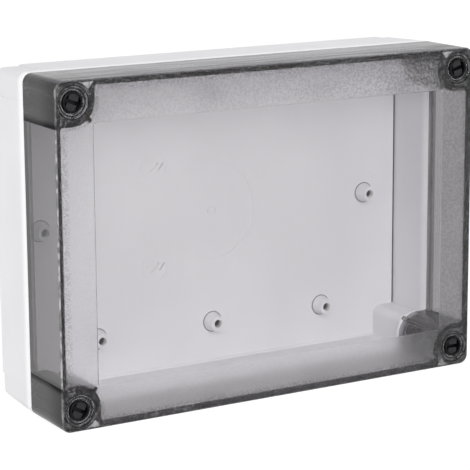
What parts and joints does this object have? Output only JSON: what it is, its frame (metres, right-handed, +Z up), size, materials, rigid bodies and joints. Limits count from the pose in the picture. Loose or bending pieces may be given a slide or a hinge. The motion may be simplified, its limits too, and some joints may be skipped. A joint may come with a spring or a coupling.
{
  "type": "polycarbonate enclosure",
  "caption": "Sealed rectangular enclosure: light grey base tray with board posts and a deep smoked see-through cover held by captive corner screws.",
  "frame": {"origin": "middle of the footprint, on the surface that the enclosure stands on", "axes": "+X along the width, to the right seen from the cover; +Y from the cover to the wall side; +Z up"},
  "size_m": [0.255, 0.075, 0.18],
  "materials": {
    "base_plastic": "fine matt moulded polycarbonate, light grey",
    "smoked_cover": "smoked see-through polycarbonate, polished window in a fine textured frame",
    "foam_gasket": "foamed-in-place polyurethane, grey",
    "screw_plastic": "glossy black polyamide",
    "ring_plastic": "matt black acetal"
  },
  "bodies": {
    "base": {"base": "base_plastic"},
    "cover": {"cover": "smoked_cover", "gasket": "foam_gasket"},
    "ring_top_left": {"retaining_ring_top_left": "ring_plastic"},
    "screw_top_left": {"cover_screw_top_left": "screw_plastic"},
    "ring_top_right": {"retaining_ring_top_right": "ring_plastic"},
    "screw_top_right": {"cover_screw_top_right": "screw_plastic"},
    "ring_bottom_left": {"retaining_ring_bottom_left": "ring_plastic"},
    "screw_bottom_left": {"cover_screw_bottom_left": "screw_plastic"},
    "ring_bottom_right": {"retaining_ring_bottom_right": "ring_plastic"},
    "screw_bottom_right": {"cover_screw_bottom_right": "screw_plastic"}
  },
  "joints": [
    {"name": "cover_lift_off", "type": "slide", "parent": "base", "child": "cover", "axis": [0, -1, 0], "range_m": [0, 0.08]},
    {"name": "screw_travel_top_left", "type": "slide", "parent": "cover", "child": "ring_top_left", "axis": [0, -1, 0], "range_m": [0, 0.012]},
    {"name": "screw_turn_top_left", "type": "hinge", "parent": "ring_top_left", "child": "screw_top_left", "pos_m": [-0.1175, -0.03, 0.169], "axis": [0, -1, 0], "range_deg": [0, 1728]},
    {"name": "screw_travel_top_right", "type": "slide", "parent": "cover", "child": "ring_top_right", "axis": [0, -1, 0], "range_m": [0, 0.012]},
    {"name": "screw_turn_top_right", "type": "hinge", "parent": "ring_top_right", "child": "screw_top_right", "pos_m": [0.1175, -0.03, 0.169], "axis": [0, -1, 0], "range_deg": [0, 1728]},
    {"name": "screw_travel_bottom_left", "type": "slide", "parent": "cover", "child": "ring_bottom_left", "axis": [0, -1, 0], "range_m": [0, 0.012]},
    {"name": "screw_turn_bottom_left", "type": "hinge", "parent": "ring_bottom_left", "child": "screw_bottom_left", "pos_m": [-0.1175, -0.03, 0.011], "axis": [0, -1, 0], "range_deg": [0, 1728]},
    {"name": "screw_travel_bottom_right", "type": "slide", "parent": "cover", "child": "ring_bottom_right", "axis": [0, -1, 0], "range_m": [0, 0.012]},
    {"name": "screw_turn_bottom_right", "type": "hinge", "parent": "ring_bottom_right", "child": "screw_bottom_right", "pos_m": [0.1175, -0.03, 0.011], "axis": [0, -1, 0], "range_deg": [0, 1728]}
  ],
  "couplings": [
    {"joint": "screw_turn_top_left", "follows": "screw_travel_top_left", "rad_per_m": 2513.3},
    {"joint": "screw_turn_top_right", "follows": "screw_travel_top_right", "rad_per_m": 2513.3},
    {"joint": "screw_turn_bottom_left", "follows": "screw_travel_bottom_left", "rad_per_m": 2513.3},
    {"joint": "screw_turn_bottom_right", "follows": "screw_travel_bottom_right", "rad_per_m": 2513.3}
  ]
}
